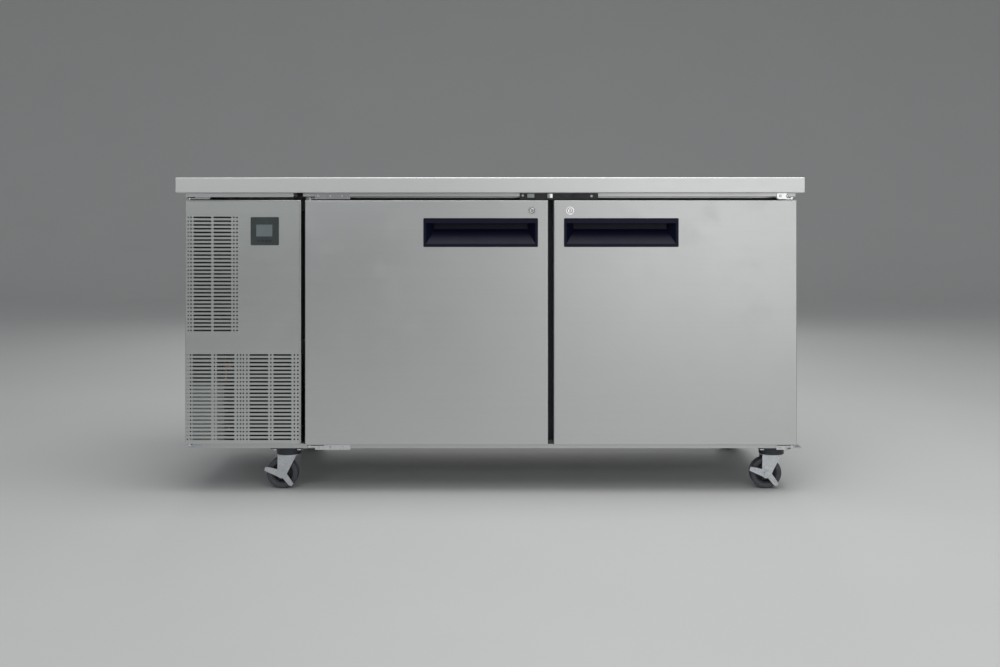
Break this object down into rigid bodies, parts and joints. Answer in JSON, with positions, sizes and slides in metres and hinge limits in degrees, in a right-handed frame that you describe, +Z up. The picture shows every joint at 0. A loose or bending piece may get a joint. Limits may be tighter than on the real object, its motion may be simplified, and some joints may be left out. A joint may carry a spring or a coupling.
{
  "type": "undercounter refrigerator",
  "caption": "Low stainless refrigerated counter with two hinged doors, recessed black pulls, a flat worktop, a side refrigeration unit behind a grille panel, and swivel casters.",
  "frame": {"origin": "on the floor under the middle of the worktop", "axes": "+X along the counter to the right-hand door, -Y out of the doors, +Z up"},
  "size_m": [1.785, 0.7, 0.9],
  "materials": {
    "stainless_worktop": "satin",
    "stainless_door": "satin",
    "stainless_case": "satin",
    "stainless_unit_panel": "satin",
    "inner_steel": "satin",
    "galvanised_steel": "matte",
    "zinc_fork": "gloss",
    "bright_bracket": "gloss",
    "lock_chrome": "gloss",
    "board_core": "matte",
    "foam": "matte",
    "frame_plastic": "satin",
    "white_plastic": "satin",
    "seal_rubber": "matte",
    "handle_plastic": "satin",
    "control_plastic": "gloss",
    "display_window": "gloss",
    "box_paint": "satin",
    "compressor_paint": "gloss",
    "coil_paint": "satin",
    "coil_aluminium": "satin",
    "copper": "satin",
    "black_plastic": "satin",
    "housing_plastic": "satin",
    "mount_rubber": "matte",
    "race_steel": "satin",
    "wheel_rubber": "matte",
    "shelf_wire": "gloss"
  },
  "bodies": {
    "cabinet": {"worktop": "stainless_worktop", "worktop_core": "board_core", "cabinet_shell": "stainless_case", "cabinet_insulation": "foam", "cabinet_liner": "inner_steel", "door_frame": "frame_plastic", "centre_mullion": "inner_steel", "top_rail": "stainless_case", "base_rail": "stainless_case", "unit_tray": "galvanised_steel", "unit_side_panel": "stainless_case", "unit_back_panel": "stainless_case", "hinge_brackets": "bright_bracket", "lock_strike": "black_plastic", "electrical_box": "box_paint", "compressor": "compressor_paint", "compressor_mounts": "mount_rubber", "condenser_coil": "coil_paint", "fan_shroud": "coil_paint", "condenser_fan_motor": "coil_paint", "filter_drier": "copper", "refrigerant_pipes": "copper", "condensate_tray": "galvanised_steel", "evaporator_housing": "housing_plastic", "evaporator_coil": "coil_aluminium", "evaporator_fan_motor": "coil_paint", "air_guard": "white_plastic", "shelf_supports": "inner_steel", "wire_shelves": "shelf_wire", "power_inlet": "black_plastic", "caster_plates": "race_steel"},
    "door_left": {"door_left_skin": "stainless_door", "door_left_insulation": "foam", "door_left_liner": "white_plastic", "door_left_gasket": "seal_rubber", "door_left_handle": "handle_plastic", "door_left_lock_tube": "lock_chrome"},
    "door_right": {"door_right_skin": "stainless_door", "door_right_insulation": "foam", "door_right_liner": "white_plastic", "door_right_gasket": "seal_rubber", "door_right_handle": "handle_plastic", "door_right_lock_tube": "lock_chrome"},
    "lock_left": {"door_left_lock_barrel": "lock_chrome"},
    "lock_right": {"door_right_lock_barrel": "lock_chrome"},
    "unit_panel": {"unit_front_panel": "stainless_unit_panel", "controller_bezel": "control_plastic", "controller_display": "display_window"},
    "condenser_fan": {"condenser_fan_blade": "black_plastic"},
    "evaporator_fan": {"evaporator_fan_blade": "black_plastic"},
    "caster_front_left": {"fork_front_left": "zinc_fork"},
    "wheel_front_left": {"wheel_front_left": "wheel_rubber"},
    "caster_front_right": {"fork_front_right": "zinc_fork"},
    "wheel_front_right": {"wheel_front_right": "wheel_rubber"},
    "caster_rear_left": {"fork_rear_left": "zinc_fork"},
    "wheel_rear_left": {"wheel_rear_left": "wheel_rubber"},
    "caster_rear_right": {"fork_rear_right": "zinc_fork"},
    "wheel_rear_right": {"wheel_rear_right": "wheel_rubber"},
    "pedal_front_left": {"pedal_front_left": "zinc_fork"},
    "pedal_front_right": {"pedal_front_right": "zinc_fork"}
  },
  "joints": [
    {"name": "door_left_hinge", "type": "hinge", "parent": "cabinet", "child": "door_left", "pos_m": [-0.515, -0.327, 0.4865], "axis": [0, 0, -1], "range_deg": [0, 110]},
    {"name": "door_right_hinge", "type": "hinge", "parent": "cabinet", "child": "door_right", "pos_m": [0.861, -0.327, 0.4865], "axis": [0, 0, 1], "range_deg": [0, 110]},
    {"name": "lock_left_turn", "type": "hinge", "parent": "door_left", "child": "lock_left", "pos_m": [0.119, -0.342, 0.8055], "axis": [0, 1, 0], "range_deg": [0, 90]},
    {"name": "lock_right_turn", "type": "hinge", "parent": "door_right", "child": "lock_right", "pos_m": [0.227, -0.342, 0.8055], "axis": [0, -1, 0], "range_deg": [0, 90]},
    {"name": "unit_panel_hinge", "type": "hinge", "parent": "cabinet", "child": "unit_panel", "pos_m": [-0.858, -0.332, 0.4885], "axis": [0, 0, -1], "range_deg": [0, 100]},
    {"name": "condenser_fan_spin", "type": "hinge", "parent": "cabinet", "child": "condenser_fan", "pos_m": [-0.65, -0.234, 0.264], "axis": [0, 1, 0], "continuous": true},
    {"name": "evaporator_fan_spin", "type": "hinge", "parent": "cabinet", "child": "evaporator_fan", "pos_m": [-0.54, 0.138, 0.615], "axis": [1, 0, 0], "continuous": true},
    {"name": "swivel_front_left", "type": "hinge", "parent": "cabinet", "child": "caster_front_left", "pos_m": [-0.585, -0.268, 0.11], "axis": [0, 0, 1], "continuous": true},
    {"name": "roll_front_left", "type": "hinge", "parent": "caster_front_left", "child": "wheel_front_left", "pos_m": [-0.603, -0.268, 0.045], "axis": [0, 1, 0], "continuous": true},
    {"name": "swivel_front_right", "type": "hinge", "parent": "cabinet", "child": "caster_front_right", "pos_m": [0.817, -0.268, 0.11], "axis": [0, 0, 1], "continuous": true},
    {"name": "roll_front_right", "type": "hinge", "parent": "caster_front_right", "child": "wheel_front_right", "pos_m": [0.799, -0.268, 0.045], "axis": [0, 1, 0], "continuous": true},
    {"name": "swivel_rear_left", "type": "hinge", "parent": "cabinet", "child": "caster_rear_left", "pos_m": [-0.585, 0.26, 0.11], "axis": [0, 0, 1], "continuous": true},
    {"name": "roll_rear_left", "type": "hinge", "parent": "caster_rear_left", "child": "wheel_rear_left", "pos_m": [-0.603, 0.26, 0.045], "axis": [0, 1, 0], "continuous": true},
    {"name": "swivel_rear_right", "type": "hinge", "parent": "cabinet", "child": "caster_rear_right", "pos_m": [0.817, 0.26, 0.11], "axis": [0, 0, 1], "continuous": true},
    {"name": "roll_rear_right", "type": "hinge", "parent": "caster_rear_right", "child": "wheel_rear_right", "pos_m": [0.799, 0.26, 0.045], "axis": [0, 1, 0], "continuous": true},
    {"name": "brake_front_left", "type": "hinge", "parent": "caster_front_left", "child": "pedal_front_left", "pos_m": [-0.603, -0.268, 0.045], "axis": [0, -1, 0], "range_deg": [0, 15]},
    {"name": "brake_front_right", "type": "hinge", "parent": "caster_front_right", "child": "pedal_front_right", "pos_m": [0.799, -0.268, 0.045], "axis": [0, -1, 0], "range_deg": [0, 15]}
  ]
}
